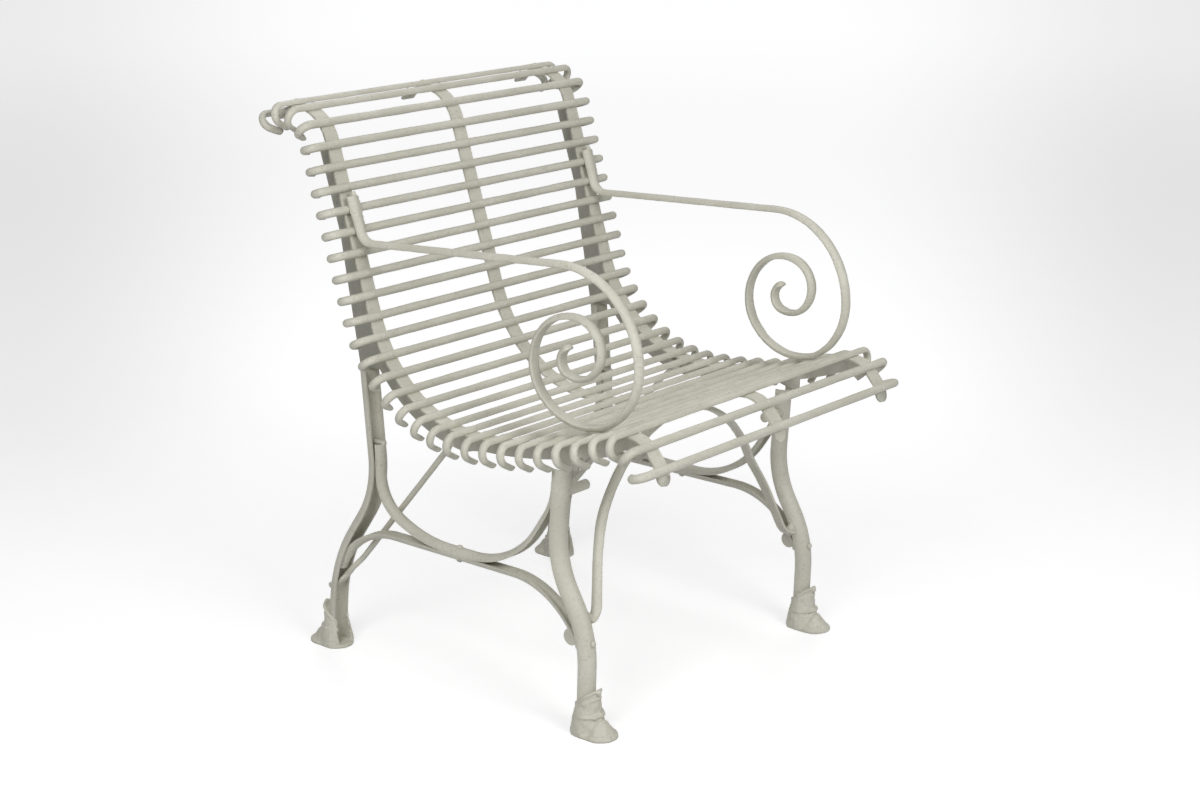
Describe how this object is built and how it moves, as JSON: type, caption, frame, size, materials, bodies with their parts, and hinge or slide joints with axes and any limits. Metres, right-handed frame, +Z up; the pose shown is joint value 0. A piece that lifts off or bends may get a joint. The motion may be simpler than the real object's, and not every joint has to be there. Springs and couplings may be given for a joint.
{
  "type": "wrought iron garden armchair",
  "caption": "Painted wrought iron garden armchair with curled half-round slats, a rolled back top, scrolled arms, bowed side frames and cast hoof feet.",
  "frame": {"origin": "on the floor under the middle of the chair's overall box", "axes": "+Z up, -Y toward the front of the seat, +X toward the sitter's left arm"},
  "size_m": [0.63, 0.7367, 0.8465],
  "materials": {
    "frame_paint": "satin stone-grey paint, hand brushed, slightly pitted",
    "slat_paint": "satin stone-grey paint, hand brushed, slightly pitted",
    "hoof_paint": "satin stone-grey paint over rough cast iron"
  },
  "bodies": {
    "root": {"rib_center": "frame_paint", "rib_left": "frame_paint", "rib_right": "frame_paint", "arm_left": "frame_paint", "arm_right": "frame_paint", "front_leg_left": "frame_paint", "front_leg_right": "frame_paint", "back_leg_left": "frame_paint", "back_leg_right": "frame_paint", "front_hoof_left": "hoof_paint", "front_hoof_right": "hoof_paint", "back_hoof_left": "hoof_paint", "back_hoof_right": "hoof_paint", "bow_left": "frame_paint", "bow_right": "frame_paint", "arch_left": "frame_paint", "arch_right": "frame_paint", "front_brace": "frame_paint", "rod_left": "frame_paint", "rod_right": "frame_paint", "top_bolt_left": "frame_paint", "top_bolt_right": "frame_paint", "low_bolt_left": "frame_paint", "low_bolt_right": "frame_paint", "back_stud_left": "frame_paint", "back_stud_right": "frame_paint", "side_stud_left": "frame_paint", "side_stud_right": "frame_paint", "slat_01": "slat_paint", "slat_02": "slat_paint", "slat_03": "slat_paint", "slat_04": "slat_paint", "slat_05": "slat_paint", "slat_06": "slat_paint", "slat_07": "slat_paint", "slat_08": "slat_paint", "slat_09": "slat_paint", "slat_10": "slat_paint", "slat_11": "slat_paint", "slat_12": "slat_paint", "slat_13": "slat_paint", "slat_14": "slat_paint", "slat_15": "slat_paint", "slat_16": "slat_paint", "slat_17": "slat_paint", "slat_18": "slat_paint", "slat_19": "slat_paint", "slat_20": "slat_paint", "slat_21": "slat_paint", "slat_22": "slat_paint", "slat_23": "slat_paint", "slat_24": "slat_paint", "slat_25": "slat_paint", "slat_26": "slat_paint", "slat_27": "slat_paint", "slat_28": "slat_paint", "slat_29": "slat_paint", "slat_30": "slat_paint", "slat_31": "slat_paint", "slat_32": "slat_paint"}
  },
  "joints": []
}
